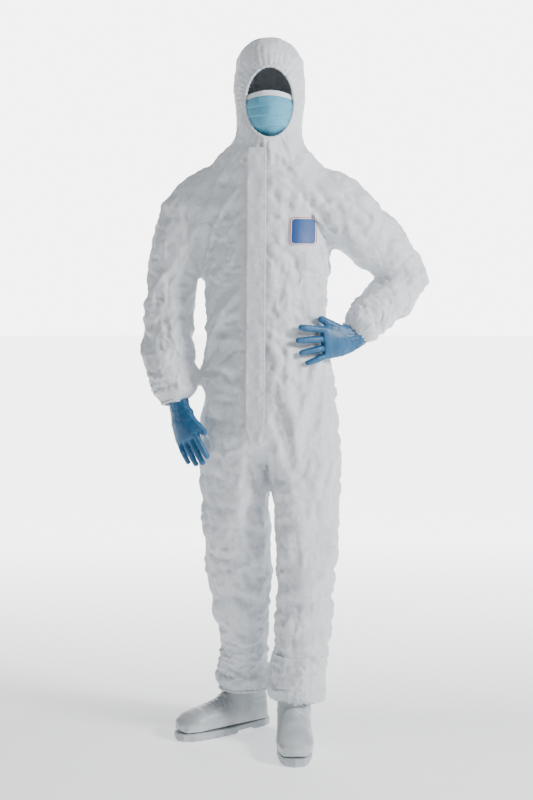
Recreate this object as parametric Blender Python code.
"""Hooded chemical protective suit, standing as it is worn: coverall with zip and storm flap, face mask,
gloves and safety boots. Nobody is inside, so every piece is a thin shell that is open to the wearer's space.

Metres, +Z up. The chest faces -Y and the wearer's left is +X. The origin is on the floor, in the middle of
the whole set's footprint box.
"""

import math

import bmesh
import bpy
from mathutils import Matrix, Quaternion, Vector

# ---------------------------------------------------------------- driving dimensions
FABRIC_WALL = 0.0015
SEAM_GAP = 0.0010
# The trunk's sloping hem leans over the leg by most of its own thickness: the leg hangs clear by that much.
HEM_GAP = FABRIC_WALL - 0.0005
BODY_SIDES = 24
LIMB_SIDES = 16

# Overall sizes. The tables below are drawn for the second value of each pair, and follow the first.
TRUNK_WIDTH, DRAWN_TRUNK_WIDTH = 0.344, 0.344
LEG_LENGTH, DRAWN_LEG_LENGTH = 0.712, 0.712
SIDE_SHIFT = (TRUNK_WIDTH - DRAWN_TRUNK_WIDTH) / 2
LEG_DROP = LEG_LENGTH - DRAWN_LEG_LENGTH

# Trunk: each level is (z at the front, z at the sides, z at the back, centre x, half width, half depth).
TRUNK_HEM = (0.815, 0.900, 0.805, 0.009, 0.182, 0.134)
TRUNK_LOWER = (
    TRUNK_HEM,
    (0.930, 0.930, 0.930, 0.008, 0.178, 0.133),
    (1.030, 1.030, 1.030, 0.003, 0.172, 0.128),
    (1.157, 1.157, 1.157, 0.000, 0.161, 0.120),
    (1.225, 1.225, 1.225, 0.000, 0.166, 0.124),
    (1.284, 1.278, 1.284, 0.000, 0.173, 0.127),
)
TRUNK_UPPER = (
    TRUNK_LOWER[-1],
    (1.380, 1.380, 1.380, 0.000, 0.172, 0.126),
    (1.460, 1.465, 1.465, 0.000, 0.165, 0.120),
    (1.500, 1.520, 1.515, 0.000, 0.155, 0.112),
    (1.520, 1.556, 1.542, 0.000, 0.132, 0.102),
    (1.530, 1.576, 1.556, 0.000, 0.105, 0.092),
)
WAIST_Z = 1.120
WAIST_ELASTIC_HEIGHT = 0.016
WAIST_ELASTIC_THICK = 0.0016


def widened(levels):
    """Trunk levels for the chosen trunk width."""
    return tuple((*level[:4], level[4] + SIDE_SHIFT, level[5]) for level in levels)


def moved_out(stations, share=1.0):
    """Sleeve or leg stations, moved out with the side of the trunk by a share of what that side moved."""
    way = SIDE_SHIFT * share * math.copysign(1, stations[0][0].x)
    return tuple((centre + Vector((way, 0, 0)), across, depth) for centre, across, depth in stations)


def lengthened(stations):
    """Leg stations for the chosen leg length. The top stays and the ankle moves."""
    top = stations[0][0].z
    stretch = LEG_LENGTH / DRAWN_LEG_LENGTH
    moved = []
    for centre, across, depth in stations:
        moved.append((Vector((centre.x, centre.y, top - (top - centre.z) * stretch)), across, depth))
    return tuple(moved)


TRUNK_LOWER = widened(TRUNK_LOWER)
TRUNK_UPPER = widened(TRUNK_UPPER)
TRUNK_HEM = TRUNK_LOWER[0]

# The zip is straight, so that its slider can run on it: it leans back a little towards the chin.
ZIP_BOTTOM = Vector((0.0, -0.136, 0.838))
ZIP_TOP = Vector((0.0, -0.112, 1.526))
ZIP_OPENING_HALF = 0.0125
AXIS_OF_BODY = Vector((0.0, -0.010, 0.0))
CHAIN_HALF = 0.0028
CHAIN_THICK = 0.0022
TAPE_THICK = 0.0009
SLIDER_LENGTH = 0.013
SLIDER_WIDTH = 0.0105
SLIDER_CLEARANCE = 0.0004
PULL_LENGTH = 0.024
PULL_WIDTH = 0.0065
PULL_THICK = 0.0014

FLAP_WIDTH = 0.050
FLAP_THICK = 0.0012
FLAP_STANDOFF = 0.0105
FLAP_RISE = 0.052
FLAP_POINT = 0.026
FLAP_HINGE_X = 0.0255
FLAP_TAPE_WIDTH = 0.010
FLAP_TAPE_THICK = 0.0004

BADGE_CENTRE = (0.112 + SIDE_SHIFT, 1.367)
BADGE_SIZE = (0.064, 0.074)
BADGE_THICK = 0.0008

# Head: the hood is turned to the wearer's left. Levels are as for the trunk, with a centre y added.
HEAD_TURN = math.radians(12.0)
NECK_PIVOT = Vector((0.008, -0.010, 1.625))
HOOD_LEVELS = (
    (1.578, 1.602, 1.618, 0.086, 0.096, -0.014),
    (1.635, 1.645, 1.655, 0.084, 0.106, -0.006),
    (1.700, 1.700, 1.700, 0.091, 0.114, 0.002),
    (1.760, 1.760, 1.760, 0.094, 0.117, 0.006),
    (1.812, 1.812, 1.812, 0.086, 0.108, 0.008),
    (1.848, 1.848, 1.848, 0.064, 0.082, 0.010),
    (1.866, 1.866, 1.866, 0.034, 0.045, 0.010),
)
HOOD_STRIP_HALF = 0.036
FACE_HALF_WIDTH = 0.0625
FACE_Z = (1.602, 1.783)
FACE_ELASTIC_RADIUS = 0.0014
CHIN_STRIP_TOP_Z = 1.69

MASK_WALL = 0.0012
# Mask: each level's half width is given as how far the mask reaches past the face opening, under the hood.
MASK_LEVELS = (
    (1.604, 1.618, FACE_HALF_WIDTH + 0.0035, 0.076, -0.010),
    (1.630, 1.634, FACE_HALF_WIDTH + 0.0075, 0.104, -0.008),
    (1.662, 1.660, FACE_HALF_WIDTH + 0.0105, 0.115, -0.006),
    (1.692, 1.684, FACE_HALF_WIDTH + 0.0115, 0.117, -0.004),
    (1.722, 1.704, FACE_HALF_WIDTH + 0.0115, 0.106, -0.002),
)
MASK_SWEEP = math.radians(122.0)
NOSE_WIRE_SIZE = (0.005, 0.0009)
NOSE_WIRE_SWEEP = math.radians(46.0)
EAR_LOOP_RADIUS = 0.0013
EAR_POINT = Vector((0.0775, 0.022, 1.668))

# Sleeves: (centre, half size in the plane of the bent arm, half size across it).
SLEEVE_RIGHT = (
    (Vector((-0.120, 0.004, 1.462)), 0.092, 0.080),
    (Vector((-0.175, 0.002, 1.448)), 0.090, 0.078),
    (Vector((-0.216, 0.000, 1.405)), 0.080, 0.076),
    (Vector((-0.238, -0.004, 1.345)), 0.071, 0.074),
    (Vector((-0.252, -0.010, 1.284)), 0.067, 0.072),
    (Vector((-0.258, -0.017, 1.222)), 0.067, 0.071),
    (Vector((-0.260, -0.021, 1.160)), 0.068, 0.071),
    (Vector((-0.259, -0.032, 1.092)), 0.072, 0.073),
    (Vector((-0.252, -0.046, 1.030)), 0.072, 0.073),
    (Vector((-0.239, -0.060, 0.968)), 0.068, 0.068),
    (Vector((-0.227, -0.069, 0.936)), 0.058, 0.056),
    (Vector((-0.221, -0.073, 0.921)), 0.042, 0.041),
)
SLEEVE_LEFT = (
    (Vector((0.120, 0.004, 1.458)), 0.092, 0.080),
    (Vector((0.178, 0.012, 1.440)), 0.088, 0.078),
    (Vector((0.225, 0.027, 1.407)), 0.078, 0.075),
    (Vector((0.254, 0.037, 1.381)), 0.073, 0.073),
    (Vector((0.280, 0.046, 1.357)), 0.069, 0.071),
    (Vector((0.330, 0.066, 1.309)), 0.062, 0.066),
    (Vector((0.364, 0.078, 1.262)), 0.062, 0.064),
    (Vector((0.331, 0.063, 1.216)), 0.060, 0.064),
    (Vector((0.301, 0.044, 1.186)), 0.060, 0.063),
    (Vector((0.271, 0.020, 1.150)), 0.060, 0.062),
    (Vector((0.246, 0.001, 1.117)), 0.054, 0.054),
    (Vector((0.237, -0.006, 1.104)), 0.046, 0.045),
)
SLEEVE_RIGHT = moved_out(SLEEVE_RIGHT)
SLEEVE_LEFT = moved_out(SLEEVE_LEFT)
ARMHOLE_END, UPPER_START, UPPER_END, LOWER_START = 0, 4, 5, 7
ELBOW_RIGHT = Vector((-0.259 - SIDE_SHIFT, -0.021, 1.160))
ELBOW_LEFT = Vector((0.358 + SIDE_SHIFT, 0.076, 1.262))
SHOULDER_RIGHT = Vector((-0.178 - SIDE_SHIFT, 0.000, 1.475))
SHOULDER_LEFT = Vector((0.178 + SIDE_SHIFT, 0.006, 1.475))
CUFF_ELASTIC_RADIUS = 0.0022
WRIST_OPENING = 0.0400

# Trouser legs: (centre, half width, half depth).
LEG_RIGHT = (
    (Vector((-0.0850, 0.004, 0.8300)), 0.0900, 0.128),
    (Vector((-0.0875, 0.008, 0.7750)), 0.0905, 0.114),
    (Vector((-0.0870, 0.014, 0.7300)), 0.0905, 0.105),
    (Vector((-0.0800, 0.026, 0.6600)), 0.0905, 0.098),
    (Vector((-0.0765, 0.034, 0.5850)), 0.0880, 0.092),
    (Vector((-0.0770, 0.045, 0.5000)), 0.0830, 0.090),
    (Vector((-0.0775, 0.060, 0.4150)), 0.0790, 0.088),
    (Vector((-0.0790, 0.080, 0.3000)), 0.0725, 0.084),
    (Vector((-0.0820, 0.097, 0.2000)), 0.0700, 0.080),
    (Vector((-0.0840, 0.108, 0.1420)), 0.0740, 0.082),
    (Vector((-0.0850, 0.112, 0.1180)), 0.0690, 0.075),
)
LEG_LEFT = (
    (Vector((0.1050, 0.004, 0.8300)), 0.0900, 0.128),
    (Vector((0.1035, 0.004, 0.7750)), 0.0905, 0.114),
    (Vector((0.1020, 0.004, 0.7300)), 0.0890, 0.105),
    (Vector((0.1040, 0.002, 0.6600)), 0.0840, 0.096),
    (Vector((0.1050, 0.000, 0.5850)), 0.0800, 0.090),
    (Vector((0.1050, -0.002, 0.5000)), 0.0785, 0.088),
    (Vector((0.1030, 0.002, 0.4150)), 0.0765, 0.086),
    (Vector((0.0930, 0.008, 0.3000)), 0.0770, 0.084),
    (Vector((0.0820, 0.013, 0.2000)), 0.0800, 0.084),
    (Vector((0.0750, 0.015, 0.1420)), 0.0770, 0.083),
    (Vector((0.0730, 0.015, 0.1180)), 0.0660, 0.075),
)
LEG_SHARE = 0.5
LEG_RIGHT = lengthened(moved_out(LEG_RIGHT, LEG_SHARE))
LEG_LEFT = lengthened(moved_out(LEG_LEFT, LEG_SHARE))
THIGH_START, THIGH_END, SHIN_START = 2, 4, 6
HIP_Z = 0.930
ANKLE_ELASTIC_RADIUS = 0.0022

# Boots: the foot's outline and the shaft, in the boot's own frame: toe along -Y, ankle above the origin.
BOOT_RIGHT = (Vector((-0.0855 - SIDE_SHIFT * LEG_SHARE, 0.113, -LEG_DROP)), math.radians(-43.0))
BOOT_LEFT = (Vector((0.0725 + SIDE_SHIFT * LEG_SHARE, 0.015, -LEG_DROP)), math.radians(12.0))
BOOT_WALL = 0.0028
SOLE_THICK = 0.022
SOLE_SEAT = SOLE_THICK + SEAM_GAP
BOOT_HEEL_BACK = 0.078
BOOT_TOE_FRONT = -0.222
BOOT_HALF_WIDTH = 0.052
# Rings that fan round the instep: (back or bottom point, front or top point) as (y, z), then the half width.
BOOT_RINGS = (
    ((0.066, 0.330), (-0.054, 0.330), 0.0500),
    ((0.060, 0.230), (-0.052, 0.230), 0.0480),
    ((0.058, 0.150), (-0.052, 0.158), 0.0460),
    ((0.062, 0.098), (-0.055, 0.126), 0.0450),
    ((0.070, 0.050), (-0.067, 0.106), 0.0450),
    ((0.066, SOLE_SEAT), (-0.086, 0.096), 0.0455),
    ((-0.010, SOLE_SEAT), (-0.118, 0.086), 0.0465),
    ((-0.100, SOLE_SEAT), (-0.152, 0.079), 0.0495),
    ((-0.170, SOLE_SEAT), (-0.184, 0.069), 0.0480),
    ((-0.206, SOLE_SEAT), (-0.208, 0.054), 0.0340),
)
TREAD_DEPTH = 0.006
TREAD_WIDTH = 0.007
TREAD_PLACES = (-0.178, -0.152, -0.126, -0.100, -0.074, 0.030, 0.050)
INSOLE_THICK = 0.004
INSOLE_GAP = 0.003

GLOVE_WALL = 0.0010
# Hand in its own frame: fingers along -Z, thumb side +X, back of the hand -Y.
PALM_RINGS = (
    (0.048, 0.0320, 0.0300),
    (0.012, 0.0300, 0.0260),
    (-0.032, 0.0370, 0.0210),
    (-0.060, 0.0430, 0.0195),
    (-0.096, 0.0420, 0.0150),
)
FINGER_X = (0.0315, 0.0105, -0.0105, -0.0305)
FINGER_LENGTH = (0.070, 0.078, 0.073, 0.058)
FINGER_RADIUS = (0.0092, 0.0094, 0.0090, 0.0082)
THUMB_BASE = Vector((0.027, -0.002, -0.044))
THUMB_LENGTH = 0.072
THUMB_RADIUS = 0.0112

LOOKS = {
    "suit_fabric": ((0.90, 0.91, 0.92), 0.62, 0.0),
    "elastic": ((0.86, 0.87, 0.87), 0.80, 0.0),
    "zip_tape": ((0.88, 0.89, 0.90), 0.75, 0.0),
    "zip_metal": ((0.85, 0.86, 0.87), 0.45, 0.0),
    "adhesive_tape": ((0.80, 0.84, 0.88), 0.25, 0.0),
    "badge": ((0.05, 0.22, 0.62), 0.45, 0.0),
    "mask_fabric": ((0.30, 0.62, 0.76), 0.70, 0.0),
    "nitrile": ((0.09, 0.36, 0.60), 0.48, 0.0),
    "boot_rubber": ((0.62, 0.65, 0.66), 0.42, 0.0),
    "sole_rubber": ((0.58, 0.61, 0.62), 0.55, 0.0),
    "insole": ((0.55, 0.57, 0.58), 0.85, 0.0),
}


# ---------------------------------------------------------------- scene and placing
def clear_scene():
    for obj in list(bpy.data.objects):
        bpy.data.objects.remove(obj)


def make_materials():
    for name, (colour, roughness, metallic) in LOOKS.items():
        material = bpy.data.materials.new(name)
        material.use_nodes = True
        shader = material.node_tree.nodes["Principled BSDF"]
        shader.inputs["Base Color"].default_value = (*colour, 1.0)
        shader.inputs["Roughness"].default_value = roughness
        shader.inputs["Metallic"].default_value = metallic


def empty(name, location, parent=None, turn=0.0):
    """A pivot, at a place in the suit's frame."""
    pivot = bpy.data.objects.new(name, None)
    bpy.context.scene.collection.objects.link(pivot)
    pivot.matrix_world = Matrix.Translation(location) @ Matrix.Rotation(turn, 4, "Z")
    bpy.context.view_layer.update()
    if parent:
        keep = pivot.matrix_world.copy()
        pivot.parent = parent
        pivot.matrix_world = keep
    return pivot


def link(name, mesh, look, parent=None):
    """An object from a mesh that is modelled in the suit's frame. Its origin goes to its parent's pivot."""
    obj = bpy.data.objects.new(name, mesh)
    bpy.context.scene.collection.objects.link(obj)
    mesh.materials.append(bpy.data.materials[look])
    if parent:
        bpy.context.view_layer.update()
        mesh.transform(parent.matrix_world.inverted())
        obj.parent = parent
    return obj


def hide(obj):
    obj.hide_render = True
    obj.display_type = "WIRE"
    return obj


def cut(obj, cutter, operation="DIFFERENCE"):
    modifier = obj.modifiers.new("cut", "BOOLEAN")
    modifier.operation = operation
    modifier.solver = "EXACT"
    modifier.object = cutter


def finish_mesh(bm, name, smooth=True):
    bmesh.ops.recalc_face_normals(bm, faces=bm.faces)
    mesh = bpy.data.meshes.new(name)
    bm.to_mesh(mesh)
    bm.free()
    if smooth:
        mesh.shade_smooth()
        mesh.set_sharp_from_angle(angle=math.radians(40))
    return mesh


def skin(rings, closed=True, capped=False):
    """A surface through rings of equal length. Closed rings meet themselves; capped ends are filled."""
    bm = bmesh.new()
    rows = [[bm.verts.new(point) for point in ring] for ring in rings]
    count = len(rows[0])
    spans = count if closed else count - 1
    for lower, upper in zip(rows, rows[1:]):
        for i in range(spans):
            j = (i + 1) % count
            bm.faces.new((lower[i], lower[j], upper[j], upper[i]))
    if capped:
        bm.faces.new(rows[0][::-1])
        bm.faces.new(rows[-1])
    return bm


def shell(name, rings, look, parent=None, wall=FABRIC_WALL, closed=True):
    """A thin-walled piece: the rings are its outer side, and the wall grows inwards."""
    bm = skin(rings, closed)
    mesh = finish_mesh(bm, name)
    face_out(mesh, None if closed else AXIS_OF_BODY)
    obj = link(name, mesh, look, parent)
    thicken = obj.modifiers.new("wall", "SOLIDIFY")
    thicken.thickness = wall
    thicken.offset = -1.0
    thicken.use_even_offset = True
    return obj


def face_out(mesh, within=None):
    """Turns an open surface's faces away from its own middle, or from the body's upright axis for a panel."""
    middle = sum((v.co for v in mesh.vertices), Vector()) / len(mesh.vertices)
    total = 0.0
    for face in mesh.polygons:
        away = face.center - middle
        if within:
            away = Vector((face.center.x - within.x, face.center.y - within.y, 0.0))
        total += face.normal.dot(away) * face.area
    if total < 0:
        mesh.flip_normals()


def solid(name, rings, look, parent=None):
    return link(name, finish_mesh(skin(rings, True, True), name), look, parent)


def box_mesh(name, low, high):
    bm = bmesh.new()
    bmesh.ops.create_cube(bm, size=1.0)
    low, high = Vector(low), Vector(high)
    bmesh.ops.scale(bm, vec=high - low, verts=bm.verts)
    bmesh.ops.translate(bm, vec=(low + high) / 2, verts=bm.verts)
    return finish_mesh(bm, name, smooth=False)


# ---------------------------------------------------------------- rings
def zip_line(z):
    """The point of the zip's outer face at a height."""
    share = (z - ZIP_BOTTOM.z) / (ZIP_TOP.z - ZIP_BOTTOM.z)
    return ZIP_BOTTOM.lerp(ZIP_TOP, share)


def trunk_point(level, angle, grow=0.0):
    """A point of the trunk's outer side. Angle 0 is the front, and it grows towards the wearer's left."""
    front, side, back, centre_x, half_width, half_depth = level
    centre_y = zip_line(front).y + half_depth
    end = front if math.cos(angle) > 0 else back
    z = side + (end - side) * math.cos(angle) ** 2
    return Vector(
        (
            centre_x + (half_width + grow) * math.sin(angle),
            centre_y - (half_depth + grow) * math.cos(angle),
            z,
        )
    )


def hood_point(level, angle, grow=0.0):
    front, side, back, half_width, half_depth, centre_y = level
    end = front if math.cos(angle) > 0 else back
    z = side + (end - side) * math.cos(angle) ** 2
    across, depth = half_width + grow, half_depth + grow
    point = Vector((across * math.sin(angle), centre_y - depth * math.cos(angle), z))
    return turned_head() @ point


def turned_head():
    """From the head's own frame, with its face along -Y, to the suit's."""
    return Matrix.Translation((NECK_PIVOT.x, 0, 0)) @ Matrix.Rotation(HEAD_TURN, 4, "Z")


def round_angles(count):
    return [2 * math.pi * i / count for i in range(count)]


def arc_angles(start, end, count):
    return [start + (end - start) * i / (count - 1) for i in range(count)]


def limb_ring(stations, index, sides, grow=0.0, shift=0.0):
    """The ring of a sleeve or a leg at one station, square to the limb, moved along it by shift."""
    centre, half_across, half_depth = stations[index]
    before = stations[max(index - 1, 0)][0]
    after = stations[min(index + 1, len(stations) - 1)][0]
    along = (after - before).normalized()
    depth = Vector((0, 1, 0))
    depth = (depth - along * depth.dot(along)).normalized()
    across = depth.cross(along).normalized()
    centre = centre + along * shift
    return [
        centre + across * (half_across + grow) * math.sin(a) - depth * (half_depth + grow) * math.cos(a)
        for a in round_angles(sides)
    ]


def limb_rings(stations, first, last, sides=LIMB_SIDES, grow=0.0):
    """The rings between two stations. The two end rings step in by half a seam gap."""
    return [
        limb_ring(stations, i, sides, grow, SEAM_GAP / 2 * ((i == first) - (i == last)))
        for i in range(first, last + 1)
    ]


# ---------------------------------------------------------------- trunk
def panel(name, levels, start, end, count, parent):
    """A panel of the trunk between two angles, which may be functions of the level."""
    rings = []
    for n, level in enumerate(levels):
        first = start(level) if callable(start) else start
        last = end(level) if callable(end) else end
        seam = SEAM_GAP / 2 / level[4]
        ring = [trunk_point(level, a) for a in arc_angles(first + seam, last - seam, count)]
        lift = SEAM_GAP / 2 * ((n == 0) - (n == len(levels) - 1))
        rings.append([p + Vector((0, 0, lift)) for p in ring])
    return shell(name, rings, "suit_fabric", parent, closed=False)


def zip_edge(side):
    """The angle at which a front panel stops beside the zip."""
    return lambda level: math.asin((side * ZIP_OPENING_HALF - level[3]) / level[4])


def make_trunk(torso):
    quarter = math.pi / 2
    made = [
        panel("front_panel_right", TRUNK_UPPER, -quarter, zip_edge(-1), 8, torso),
        panel("front_panel_left", TRUNK_UPPER, zip_edge(1), quarter, 8, torso),
        panel("back_panel", TRUNK_UPPER, quarter, 3 * quarter, 13, torso),
    ]
    for stations in (SLEEVE_RIGHT, SLEEVE_LEFT):
        rings = [limb_ring(stations, i, LIMB_SIDES, SEAM_GAP - FABRIC_WALL) for i in (0, 1)]
        rings[1] = [p + (stations[1][0] - stations[0][0]) for p in rings[1]]
        armhole = hide(solid("armhole_form", rings, "suit_fabric"))
        for piece in made:
            cut(piece, armhole)
    panel("trunk_front_right", TRUNK_LOWER, -quarter, zip_edge(-1), 8, torso)
    panel("trunk_front_left", TRUNK_LOWER, zip_edge(1), quarter, 8, torso)
    panel("seat_panel", TRUNK_LOWER, quarter, 3 * quarter, 13, torso)


def make_waist_elastic(torso):
    """A flat elastic round the back of the waist, on the inside of the seat panel."""
    inset = -FABRIC_WALL - SEAM_GAP
    levels = [
        (z, z, z, *between_levels(TRUNK_LOWER, z))
        for z in (WAIST_Z - WAIST_ELASTIC_HEIGHT / 2, WAIST_Z + WAIST_ELASTIC_HEIGHT / 2)
    ]
    rings = [
        [trunk_point(level, a, inset) for a in arc_angles(math.radians(105), math.radians(255), 11)]
        for level in levels
    ]
    shell("waist_elastic", rings, "elastic", torso, WAIST_ELASTIC_THICK, closed=False)


def between_levels(levels, z):
    """(centre x, half width, half depth) of the trunk at a height where its levels are flat."""
    for low, high in zip(levels, levels[1:]):
        if low[0] <= z <= high[0]:
            share = (z - low[0]) / (high[0] - low[0])
            return [low[k] + (high[k] - low[k]) * share for k in (3, 4, 5)]
    raise ValueError("no trunk level there")


# ---------------------------------------------------------------- zip and flap
def along_zip(name, low, high, look, parent):
    """A box along the zip. Its corners are (x, depth behind the zip's face, distance up the zip)."""
    mesh = box_mesh(name, low, high)
    mesh.transform(zip_frame())
    return link(name, mesh, look, parent)


def zip_frame():
    """X across the zip, Y into the suit, Z up the zip, from its bottom end."""
    up = (ZIP_TOP - ZIP_BOTTOM).normalized()
    across = Vector((1, 0, 0))
    into = up.cross(across)
    turn = Matrix((across, into, up)).transposed().to_4x4()
    return Matrix.Translation(ZIP_BOTTOM) @ turn


def zip_length():
    return (ZIP_TOP - ZIP_BOTTOM).length


def make_zip(torso):
    """Two woven tapes, each with its half of the chain along the inner edge, and a stop at each end."""
    length = zip_length()
    for side, name in ((-1, "zip_tape_right"), (1, "zip_tape_left")):
        inner, outer = SEAM_GAP / 2, ZIP_OPENING_HALF - SEAM_GAP
        xs = sorted((side * inner, side * outer))
        tape = along_zip(name, (xs[0], 0.0004, 0.0), (xs[1], 0.0004 + TAPE_THICK, length), "zip_tape", torso)
        xs = sorted((side * inner, side * CHAIN_HALF))
        half_thick = CHAIN_THICK / 2
        middle = 0.0004 + TAPE_THICK / 2
        chain = hide(
            along_zip(
                name + "_chain",
                (xs[0], middle - half_thick, 0.006),
                (xs[1], middle + half_thick, length - 0.006),
                "zip_tape",
                torso,
            )
        )
        cut(tape, chain, "UNION")
    for name, low in (("zip_bottom_stop", 0.0008), ("zip_top_stop", length - 0.0048)):
        along_zip(name, (-0.0034, -0.0028, low), (0.0034, -0.0002, low + 0.004), "zip_metal", torso)


def slider_start():
    """How far up the zip the slider's middle is when the zip is closed."""
    return zip_length() - 0.0065 - SLIDER_LENGTH / 2


def make_slider(torso):
    """The slider wraps the chain, and a pull tab is hinged on the bridge at its front."""
    frame = zip_frame()
    start = slider_start()
    pivot = empty("slider_pivot", frame @ Vector((0, 0, start)), torso)
    half_length = SLIDER_LENGTH / 2
    chain_front = 0.0004 + TAPE_THICK / 2 - CHAIN_THICK / 2
    plate = 0.0012
    front = chain_front - SLIDER_CLEARANCE
    body = along_zip(
        "zip_slider",
        (-SLIDER_WIDTH / 2, front - plate, start - half_length),
        (SLIDER_WIDTH / 2, front, start + half_length),
        "zip_metal",
        pivot,
    )
    bridge_low = hide(
        along_zip(
            "bridge_form",
            (-0.0016, front - plate - 0.0028, start - 0.0045),
            (0.0016, front - plate + 0.0004, start + 0.0045),
            "zip_metal",
            pivot,
        )
    )
    cut(body, bridge_low, "UNION")
    eye = hide(
        along_zip(
            "eye_form",
            (-0.006, front - plate - 0.0018, start - 0.0024),
            (0.006, front - plate - 0.0002, start + 0.0024),
            "zip_metal",
            pivot,
        )
    )
    cut(body, eye)
    hinge_depth = front - plate - 0.0010
    tab_pivot = empty("pull_pivot", frame @ Vector((0, hinge_depth, start - 0.0010)), pivot)
    tab = along_zip(
        "zip_pull_tab",
        (-PULL_WIDTH / 2, hinge_depth - PULL_THICK / 2 + 0.0001, start - 0.001 - PULL_LENGTH),
        (PULL_WIDTH / 2, hinge_depth + PULL_THICK / 2 - 0.0001, start - 0.001),
        "zip_metal",
        tab_pivot,
    )
    slot = hide(
        along_zip(
            "slot_form",
            (-0.0020, hinge_depth - 0.003, start - 0.0078),
            (0.0020, hinge_depth + 0.003, start - 0.0018),
            "zip_metal",
            tab_pivot,
        )
    )
    cut(tab, slot)
    return pivot, tab_pivot


def make_flap(torso):
    """The storm flap, hinged on its stitched edge, with an adhesive strip inside its free edge."""
    length = zip_length() + FLAP_RISE
    frame = zip_frame()
    pivot = empty("flap_pivot", frame @ Vector((FLAP_HINGE_X, -FLAP_STANDOFF, 0)), torso)
    right = FLAP_HINGE_X - FLAP_WIDTH
    outline = (
        (FLAP_HINGE_X, -0.012),
        (FLAP_HINGE_X, length),
        (right + 0.008, length),
        (right, length - 0.010),
        (right, FLAP_POINT),
        (right + 0.016, -0.012),
    )
    bm = bmesh.new()
    face = bm.faces.new([bm.verts.new((x, -FLAP_STANDOFF - FLAP_THICK, z)) for x, z in outline])
    sides = bmesh.ops.extrude_face_region(bm, geom=[face])
    moved = [v for v in sides["geom"] if isinstance(v, bmesh.types.BMVert)]
    bmesh.ops.translate(bm, vec=(0, FLAP_THICK, 0), verts=moved)
    mesh = finish_mesh(bm, "zip_flap", smooth=False)
    mesh.transform(frame)
    link("zip_flap", mesh, "suit_fabric", pivot)
    behind = -FLAP_STANDOFF + 0.0003
    along_zip(
        "flap_adhesive_tape",
        (right + 0.003, behind, FLAP_POINT + 0.012),
        (right + 0.003 + FLAP_TAPE_WIDTH, behind + FLAP_TAPE_THICK, length - 0.016),
        "adhesive_tape",
        pivot,
    )
    return pivot


def make_badge(torso):
    """A plain woven patch, curved with the left front panel."""
    centre_x, centre_z = BADGE_CENTRE
    width, height = BADGE_SIZE
    rings = []
    for z in (centre_z - height / 2, centre_z, centre_z + height / 2):
        share = (z - TRUNK_UPPER[0][0]) / (TRUNK_UPPER[1][0] - TRUNK_UPPER[0][0])
        low, high = (TRUNK_UPPER[0], TRUNK_UPPER[1]) if share <= 1 else (TRUNK_UPPER[1], TRUNK_UPPER[2])
        share = (z - low[0]) / (high[0] - low[0])
        level = [low[k] + (high[k] - low[k]) * share for k in range(6)]
        level[:3] = z, z, z
        ends = [math.asin((centre_x + s * width / 2) / level[4]) for s in (-1, 1)]
        grow = SEAM_GAP + BADGE_THICK + 0.0012
        rings.append([trunk_point(level, a, grow) for a in arc_angles(*ends, 5)])
    shell("badge_patch", rings, "badge", torso, BADGE_THICK, closed=False)


# ---------------------------------------------------------------- hood and mask
def make_hood(pivot, torso):
    """Three panels: a strip from forehead to nape, and two sides that meet below the chin."""
    top = [hood_point(HOOD_LEVELS[-1], a) for a in round_angles(BODY_SIDES)]
    low_x, high_x = -HOOD_STRIP_HALF, HOOD_STRIP_HALF
    far = 0.3
    turn = turned_head()

    def head_box(name, low, high):
        mesh = box_mesh(name, low, high)
        mesh.transform(turn)
        return hide(link(name, mesh, "suit_fabric", pivot))

    face_rings = []
    half_height = (FACE_Z[1] - FACE_Z[0]) / 2
    middle = (FACE_Z[1] + FACE_Z[0]) / 2
    for y in (-far, -0.045):
        face_rings.append(
            [
                turn @ Vector((FACE_HALF_WIDTH * math.cos(a), y, middle + half_height * math.sin(a)))
                for a in round_angles(BODY_SIDES)
            ]
        )
    face = hide(solid("face_form", face_rings, "suit_fabric", pivot))

    for name, sign in (("hood_centre_panel", 0), ("hood_side_panel_right", -1), ("hood_side_panel_left", 1)):
        rings = [[hood_point(level, a) for a in round_angles(BODY_SIDES)] for level in HOOD_LEVELS]
        bm = skin(rings)
        bm.verts.ensure_lookup_table()
        rim = [v for v in bm.verts if any((v.co - p).length < 1e-6 for p in top)]
        crown = bm.verts.new(turn @ Vector((0, HOOD_LEVELS[-1][5], 1.8705)))
        for edge in [e for e in bm.edges if e.is_boundary and e.verts[0] in rim and e.verts[1] in rim]:
            bm.faces.new((edge.verts[0], edge.verts[1], crown))
        mesh = finish_mesh(bm, name)
        face_out(mesh)
        obj = link(name, mesh, "suit_fabric", pivot)
        wall = obj.modifiers.new("wall", "SOLIDIFY")
        wall.thickness = FABRIC_WALL
        wall.offset = -1.0
        wall.use_even_offset = True
        cut(obj, face)
        gap = SEAM_GAP / 2
        if sign == 0:
            cut(obj, head_box("strip_right_form", (-far, -far, 1.4), (low_x + gap, far, 2.0)))
            cut(obj, head_box("strip_left_form", (high_x - gap, -far, 1.4), (far, far, 2.0)))
            cut(obj, head_box("chin_form", (-far, -far, 1.4), (far, 0.0, CHIN_STRIP_TOP_Z)))
        else:
            cut(obj, head_box("strip_top_form", (low_x - gap, -far, CHIN_STRIP_TOP_Z), (high_x + gap, far, 2.0)))
            cut(obj, head_box("strip_back_form", (low_x - gap, 0.0, 1.4), (high_x + gap, far, 1.9)))
            ends = (-gap, far) if sign < 0 else (-far, gap)
            cut(obj, head_box("half_form", (ends[0], -far, 1.4), (ends[1], far, 2.0)))

    bottom = [hood_point(HOOD_LEVELS[0], a) + Vector((0, 0, -SEAM_GAP)) for a in round_angles(BODY_SIDES)]
    collar = [trunk_point(TRUNK_UPPER[-1], a) + Vector((0, 0, SEAM_GAP)) for a in round_angles(BODY_SIDES)]
    shell("neck_section", [collar, bottom], "suit_fabric", torso)


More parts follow.
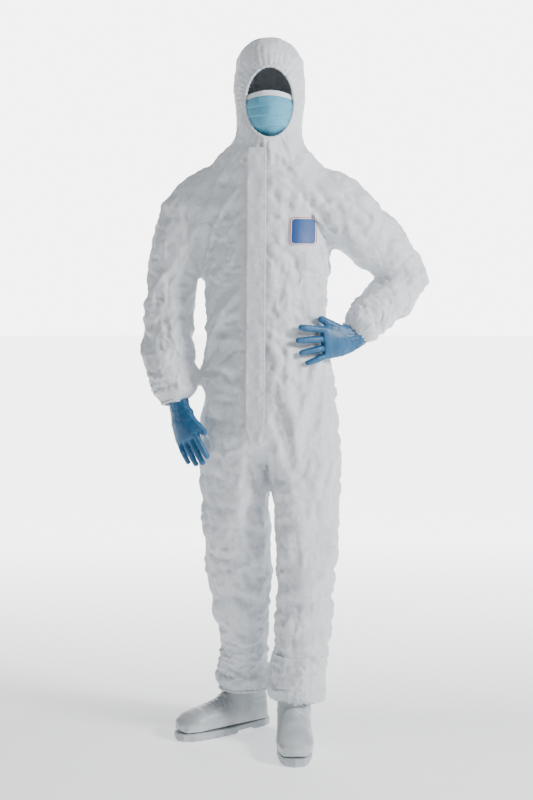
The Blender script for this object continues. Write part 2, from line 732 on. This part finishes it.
def hood_front(x, z, grow=0.0):
    """How far forward the hood's outer side is at a place of the face, in the head's frame."""
    for low, high in zip(HOOD_LEVELS, HOOD_LEVELS[1:]):
        if z <= high[0] or high is HOOD_LEVELS[-1]:
            share = (z - low[0]) / (high[0] - low[0])
            half_width, half_depth, centre_y = (low[k] + (high[k] - low[k]) * share for k in (3, 4, 5))
            return centre_y - (half_depth + grow) * math.sqrt(1 - (x / (half_width + grow)) ** 2)


def tube(name, points, radius, look, parent, cyclic=False, sides=6):
    """A round elastic along a line of points. A cyclic one closes on itself; the other's ends are filled."""
    count = len(points)
    rings = []
    side = None
    for n, point in enumerate(points):
        before = points[n - 1] if cyclic or n else point
        after = points[(n + 1) % count] if cyclic or n < count - 1 else point
        along = (after - before).normalized()
        if side is None:
            side = along.orthogonal().normalized()
        side = (side - along * side.dot(along)).normalized()
        depth = along.cross(side)
        rings.append([point + (side * math.cos(a) + depth * math.sin(a)) * radius for a in round_angles(sides)])
    bm = bmesh.new()
    rows = [[bm.verts.new(point) for point in ring] for ring in rings]
    for n in range(count if cyclic else count - 1):
        lower, upper = rows[n], rows[(n + 1) % count]
        for i in range(sides):
            j = (i + 1) % sides
            bm.faces.new((lower[i], lower[j], upper[j], upper[i]))
    if not cyclic:
        bm.faces.new(rows[0][::-1])
        bm.faces.new(rows[-1])
    return link(name, finish_mesh(bm, name), look, parent)


def make_face_elastic(pivot):
    """The elastic inside the rim of the face opening."""
    turn = turned_head()
    inset = FACE_ELASTIC_RADIUS + SEAM_GAP + 0.0012
    half_height = (FACE_Z[1] - FACE_Z[0]) / 2 - inset
    middle = (FACE_Z[1] + FACE_Z[0]) / 2
    points = []
    for a in round_angles(24):
        x, z = (FACE_HALF_WIDTH - inset) * math.cos(a), middle + half_height * math.sin(a)
        points.append(turn @ Vector((x, hood_front(x, z, -FABRIC_WALL / 2), z)))
    tube("face_elastic", points, FACE_ELASTIC_RADIUS, "elastic", pivot, cyclic=True)


def mask_point(level, angle, grow=0.0):
    """The mask's outer side: fuller over the nose and mouth than a plain oval, flat against the cheeks."""
    front, side, half_width, half_depth, centre_y = level
    z = side + (front - side) * math.cos(angle) ** 2
    x = (half_width + grow) * math.sin(angle)
    return turned_head() @ Vector((x, centre_y - (half_depth + grow) * math.cos(angle), z))


def make_mask(pivot):
    rings = [
        [mask_point(level, a) for a in arc_angles(-MASK_SWEEP / 2, MASK_SWEEP / 2, 11)] for level in MASK_LEVELS
    ]
    shell("mask_body", rings, "mask_fabric", pivot, MASK_WALL, closed=False)
    height, thick = NOSE_WIRE_SIZE
    top = MASK_LEVELS[-1]
    rings = []
    for drop in (0.006 + height, 0.006):
        share = drop / (MASK_LEVELS[-1][0] - MASK_LEVELS[-2][0])
        level = [t + (b - t) * share for t, b in zip(top, MASK_LEVELS[-2])]
        angles = arc_angles(-NOSE_WIRE_SWEEP / 2, NOSE_WIRE_SWEEP / 2, 7)
        rings.append([mask_point(level, a, SEAM_GAP + thick) for a in angles])
    shell("mask_nose_wire", rings, "elastic", pivot, thick, closed=False)
    for side, name in ((-1, "mask_ear_loop_right"), (1, "mask_ear_loop_left")):
        ends = [
            mask_point(MASK_LEVELS[k], side * (MASK_SWEEP / 2 + 0.045), -0.001) for k in (1, 4)
        ]
        ear = turned_head() @ Vector((side * EAR_POINT.x, EAR_POINT.y, EAR_POINT.z))
        points = []
        for share in arc_angles(0, 1, 9):
            strap = ends[0].lerp(ends[1], share)
            pull = math.sin(math.pi * share) ** 0.6
            points.append(strap.lerp(Vector((ear.x, ear.y, strap.z * 0.6 + ear.z * 0.4)), pull))
        tube(name, points, EAR_LOOP_RADIUS, "elastic", pivot)


# ---------------------------------------------------------------- sleeves, legs, gloves, boots
def make_sleeve(side, stations, torso, upper, lower):
    """The shoulder and the elbow sections fold with the arm; the two between them keep their shape."""
    trunk_rings = [[trunk_point(level, a, SEAM_GAP) for a in round_angles(72)] for level in TRUNK_UPPER]
    trunk = hide(solid("trunk_form", trunk_rings, "suit_fabric"))
    shoulder = shell(
        f"shoulder_section_{side}", limb_rings(stations, ARMHOLE_END, UPPER_START), "suit_fabric", torso
    )
    cut(shoulder, trunk)
    shell(f"upper_sleeve_{side}", limb_rings(stations, UPPER_START, UPPER_END), "suit_fabric", upper)
    shell(f"elbow_section_{side}", limb_rings(stations, UPPER_END, LOWER_START), "suit_fabric", upper)
    last = len(stations) - 1
    shell(f"lower_sleeve_{side}", limb_rings(stations, LOWER_START, last), "suit_fabric", lower)
    half_across = stations[last][1]
    ring = limb_ring(stations, last, 16, WRIST_OPENING + CUFF_ELASTIC_RADIUS - half_across, 0.0035)
    tube(f"cuff_elastic_{side}", ring, CUFF_ELASTIC_RADIUS, "elastic", lower, cyclic=True)


def leg_top_ring(sign):
    """The leg's top ring: its half of the trunk's hem outside, and the crotch seam front to back inside."""
    front, side, back, centre_x, half_width, half_depth = TRUNK_HEM
    centre_y = zip_line(front).y + half_depth
    inner_x = centre_x + sign * SEAM_GAP / 2
    start = Vector((sign * half_width / 2, 0.0))
    points = []
    for a in round_angles(LIMB_SIDES):
        step = Vector((-math.sin(a), -math.cos(a)))
        square = (step.x / half_width) ** 2 + (step.y / half_depth) ** 2
        linear = start.x * step.x / half_width**2
        reach = (-linear + math.sqrt(linear**2 + square * (1 - (start.x / half_width) ** 2))) / square
        x, y = start + step * reach
        if sign * (centre_x + x - inner_x) < 0:
            reach = (inner_x - centre_x - start.x) / step.x
            x, y = start + step * reach
            z = front + (back - front) * (y + half_depth) / (2 * half_depth)
        else:
            z = side + ((front if y < 0 else back) - side) * (y / half_depth) ** 2
        points.append(Vector((centre_x + x, centre_y + y, z - HEM_GAP)))
    return points


def make_leg(side, stations, torso, thigh, shin):
    rings = limb_rings(stations, 0, THIGH_START)
    rings[0] = leg_top_ring(-1 if side == "right" else 1)
    shell(f"hip_section_{side}", rings, "suit_fabric", torso)
    shell(f"trouser_thigh_{side}", limb_rings(stations, THIGH_START, THIGH_END), "suit_fabric", thigh)
    shell(f"knee_section_{side}", limb_rings(stations, THIGH_END, SHIN_START), "suit_fabric", thigh)
    last = len(stations) - 1
    shell(f"trouser_shin_{side}", limb_rings(stations, SHIN_START, last), "suit_fabric", shin)
    ring = limb_ring(stations, last, 16, 0.0, 0.0035)
    tube(f"ankle_elastic_{side}", ring, ANKLE_ELASTIC_RADIUS, "elastic", shin, cyclic=True)


def finger_rings(base, direction, length, radius, curl, sides=7):
    """A finger that bends a little towards the palm, with a rounded tip."""
    rings = []
    side = Vector((1, 0, 0))
    steps = ((0.0, 1.0), (0.5, 0.98), (0.86, 0.86), (1.0, 0.45))
    point, last = base.copy(), 0.0
    for share, size in steps:
        bent = Matrix.Rotation(curl * share, 3, "X") @ direction
        point = point + bent * length * (share - last)
        last = share
        across = (side - bent * side.dot(bent)).normalized()
        depth = bent.cross(across)
        rings.append(
            [
                point + across * radius * size * math.cos(a) + depth * radius * size * math.sin(a)
                for a in round_angles(sides)
            ]
        )
    return rings


def wrist_turn(forearm, z):
    """How the glove's rings turn from the palm towards the forearm above the wrist."""
    bend = Vector((0, 0, 1)).rotation_difference(forearm)
    return Quaternion().slerp(bend, min(max(z, 0.0) / 0.024, 1.0))


def hand_form(name, place, forearm_up, mirror, splay, curl, thumb_direction, grow, open_end, parent=None):
    """Palm and five fingers as one hidden solid. Grow makes the inner form smaller than the outer one."""
    flip = Matrix.Diagonal((mirror, 1, 1, 1))
    forearm = (place @ flip).to_3x3().inverted() @ forearm_up
    palm = []
    for n, (z, half_width, half_depth) in enumerate(PALM_RINGS):
        turn = wrist_turn(forearm, z)
        height = z + open_end * (n == 0)
        middle = (forearm if height > 0 else Vector((0, 0, 1))) * height
        palm.append(
            [
                middle + turn @ Vector(((half_width + grow) * math.cos(a), (half_depth + grow) * math.sin(a), 0))
                for a in round_angles(14)
            ]
        )
    if grow:
        palm[-1] = [p + Vector((0, 0, -grow)) for p in palm[-1]]
    meshes = [palm]
    for x, length, radius, angle in zip(FINGER_X, FINGER_LENGTH, FINGER_RADIUS, splay):
        direction = Vector((math.sin(angle), 0, -math.cos(angle)))
        base = Vector((x, 0, PALM_RINGS[-1][0] + 0.010))
        meshes.append(finger_rings(base, direction, length + 0.010 + grow, radius + grow, curl))
    thumb = thumb_direction.normalized()
    meshes.append(finger_rings(THUMB_BASE, thumb, THUMB_LENGTH + grow, THUMB_RADIUS + grow, curl * 0.4))
    place = place @ flip
    whole = None
    for n, rings in enumerate(meshes):
        rings = [[place @ p for p in ring] for ring in rings]
        piece = solid(name if n == 0 else f"{name}_finger", rings, "nitrile", parent if n == 0 else None)
        hide(piece)
        if n == 0:
            whole = piece
        else:
            cut(whole, piece, "UNION")
    return whole


def make_glove(side, hand, place, forearm_up, mirror, splay, curl, thumb_direction):
    """A thin glove: the hand's form with a slightly smaller one taken out through the cuff."""
    shape = (place, forearm_up.normalized(), mirror, splay, curl, thumb_direction)
    glove = hand_form(f"glove_{side}", *shape, 0.0, 0.0, hand)
    inner = hand_form("hand_form", *shape, -GLOVE_WALL, 0.01)
    cut(glove, inner)
    glove.hide_render = False
    glove.display_type = "TEXTURED"


def boot_ring(ring, sides=16):
    """A ring of the boot between two points of its middle plane: level in the shaft, upright at the toe."""
    (low_y, low_z), (high_y, high_z), half_width = ring
    low, high = Vector((0, low_y, low_z)), Vector((0, high_y, high_z))
    points = []
    for a in round_angles(sides):
        flat = 0.4 if low_z <= SOLE_SEAT and math.cos(a) < 0 else 0.75
        rise = abs(math.cos(a)) ** flat * math.copysign(1, math.cos(a))
        point = (low + high) / 2 + (high - low) / 2 * rise
        point.x = half_width * math.sin(a)
        points.append(point)
    return points


def shaft_drift(stations, z):
    """How far the leg's middle has moved, at a height, from where it is at the ankle."""
    ankle = stations[-1][0]
    if z <= ankle.z:
        return Vector()
    for (high, *_), (low, *_) in zip(stations, stations[1:]):
        if low.z <= z <= high.z:
            middle = low.lerp(high, (z - low.z) / (high.z - low.z))
            return Vector((middle.x - ankle.x, middle.y - ankle.y, 0.0))
    raise ValueError("no leg station there")


def sole_outline(inset=0.0, points=20):
    """The foot's outline as two half ovals, wider at the ball of the foot than at the heel."""
    outline = []
    length = BOOT_HEEL_BACK - BOOT_TOE_FRONT - 2 * inset
    middle = (BOOT_HEEL_BACK + BOOT_TOE_FRONT) / 2
    for a in round_angles(points):
        y = middle + length / 2 * math.sin(a)
        width = BOOT_HALF_WIDTH - inset - 0.010 * (1 + math.sin(a)) / 2
        waist = 0.006 * math.exp(-(((y - 0.0) / 0.045) ** 2))
        flat = abs(math.cos(a)) ** 0.62 * math.copysign(1, math.cos(a))
        outline.append((flat * (width - waist), y))
    return outline


def make_boot(side, place, turn, stations, shin):
    frame = Matrix.Translation(place) @ Matrix.Rotation(turn, 4, "Z")
    rings = [[frame @ p for p in boot_ring(r)] for r in BOOT_RINGS]
    rings = [[p + shaft_drift(stations, p.z) for p in ring] for ring in rings]
    bm = skin(rings)
    toe = [v for v in bm.verts if v.is_boundary and any((v.co - p).length < 1e-6 for p in rings[-1])]
    tip = bm.verts.new(frame @ Vector((0, BOOT_TOE_FRONT + 0.004, 0.038)))
    ring_edges = [e for e in bm.edges if e.is_boundary and e.verts[0] in toe and e.verts[1] in toe]
    for edge in ring_edges:
        bm.faces.new((edge.verts[0], edge.verts[1], tip))
    mesh = finish_mesh(bm, f"boot_upper_{side}")
    face_out(mesh)
    upper = link(f"boot_upper_{side}", mesh, "boot_rubber", shin)
    wall = upper.modifiers.new("wall", "SOLIDIFY")
    wall.thickness = BOOT_WALL
    wall.offset = -1.0

    steps = ((0.0, 0.003), (0.006, 0.0), (SOLE_THICK - 0.002, 0.0), (SOLE_THICK, 0.002))
    rings = [[frame @ Vector((x, y, z)) for x, y in sole_outline(inset)] for z, inset in steps]
    sole = solid(f"boot_outsole_{side}", rings, "sole_rubber", shin)
    arch = box_mesh("arch_form", (-0.08, -0.052, -0.01), (0.08, 0.012, 0.0085))
    arch.transform(frame)
    cut(sole, hide(link("arch_form", arch, "sole_rubber", shin)))
    for y in TREAD_PLACES:
        groove = box_mesh("tread_form", (-0.08, y, -0.01), (0.08, y + TREAD_WIDTH, TREAD_DEPTH))
        groove.transform(frame)
        cut(sole, hide(link("tread_form", groove, "sole_rubber", shin)))

    low = SOLE_THICK + SEAM_GAP + BOOT_WALL + INSOLE_GAP
    rings = [
        [frame @ Vector((x * 0.70, -0.030 + (y + 0.030) * 0.80, z)) for x, y in sole_outline(0.012)]
        for z in (low, low + INSOLE_THICK)
    ]
    solid(f"boot_insole_{side}", rings, "insole", shin)


def hand_place(wrist, along, back):
    """The hand's frame: -Z along the fingers, -Y out of the back of the hand."""
    up = -Vector(along).normalized()
    rear = -(Vector(back) - up * Vector(back).dot(up)).normalized()
    across = rear.cross(up)
    turn = Matrix((across, rear, up)).transposed().to_4x4()
    return Matrix.Translation(wrist) @ turn


# ---------------------------------------------------------------- assembly
def main():
    clear_scene()
    make_materials()
    torso = empty("torso", (0, 0, 0))
    make_trunk(torso)
    make_waist_elastic(torso)
    make_zip(torso)
    make_slider(torso)
    make_flap(torso)
    make_badge(torso)
    hood = empty("hood", NECK_PIVOT, torso, HEAD_TURN)
    make_hood(hood, torso)
    make_face_elastic(hood)
    make_mask(hood)

    arms = {
        "right": (SLEEVE_RIGHT, SHOULDER_RIGHT, ELBOW_RIGHT),
        "left": (SLEEVE_LEFT, SHOULDER_LEFT, ELBOW_LEFT),
    }
    hands = {}
    for side, (stations, shoulder, elbow) in arms.items():
        upper = empty(f"upper_arm_{side}", shoulder, torso)
        lower = empty(f"forearm_{side}", elbow, upper)
        make_sleeve(side, stations, torso, upper, lower)
        hands[side] = empty(f"hand_{side}", stations[-1][0], lower)
    along = SLEEVE_RIGHT[-1][0] - SLEEVE_RIGHT[-3][0]
    wrist = SLEEVE_RIGHT[-1][0] + along.normalized() * 0.004
    make_glove(
        "right",
        hands["right"],
        hand_place(wrist, (0.052, -0.052, -0.150), (-0.50, -0.86, 0)),
        -along,
        1,
        [math.radians(a) for a in (3, 1, -1, -4)],
        math.radians(26),
        Vector((0.42, 0.10, -0.90)),
    )
    wrist = SLEEVE_LEFT[-1][0] + Vector((0.0035, 0.0005, -0.0125))
    make_glove(
        "left",
        hands["left"],
        hand_place(wrist, (-0.73, -0.67, -0.10), (0.68, -0.73, 0)),
        SLEEVE_LEFT[-3][0] - SLEEVE_LEFT[-1][0],
        -1,
        [math.radians(a) for a in (12, 3, -5, -13)],
        math.radians(12),
        Vector((0.50, 0.10, -0.80)),
    )

    legs = {"right": (LEG_RIGHT, BOOT_RIGHT), "left": (LEG_LEFT, BOOT_LEFT)}
    for side, (stations, (place, turn)) in legs.items():
        thigh = empty(f"thigh_{side}", (stations[1][0].x, stations[0][0].y, HIP_Z), torso)
        shin = empty(f"shin_{side}", stations[5][0], thigh)
        make_leg(side, stations, torso, thigh, shin)
        make_boot(side, place, turn, stations, shin)
    stand_on_origin(torso)


def stand_on_origin(torso):
    """Moves the set so that the middle of its footprint box is the origin."""
    bpy.context.view_layer.update()
    graph = bpy.context.evaluated_depsgraph_get()
    corners = [
        obj.evaluated_get(graph).matrix_world @ Vector(corner)
        for obj in bpy.data.objects
        if obj.type != "EMPTY" and not obj.hide_render
        for corner in obj.evaluated_get(graph).bound_box
    ]
    middle = [(min(c[k] for c in corners) + max(c[k] for c in corners)) / 2 for k in (0, 1)]
    low = min(c.z for c in corners)
    for obj in bpy.data.objects:
        if obj.parent is None:
            obj.location += Vector((-middle[0], -middle[1], -low))
    bpy.context.view_layer.update()


main()
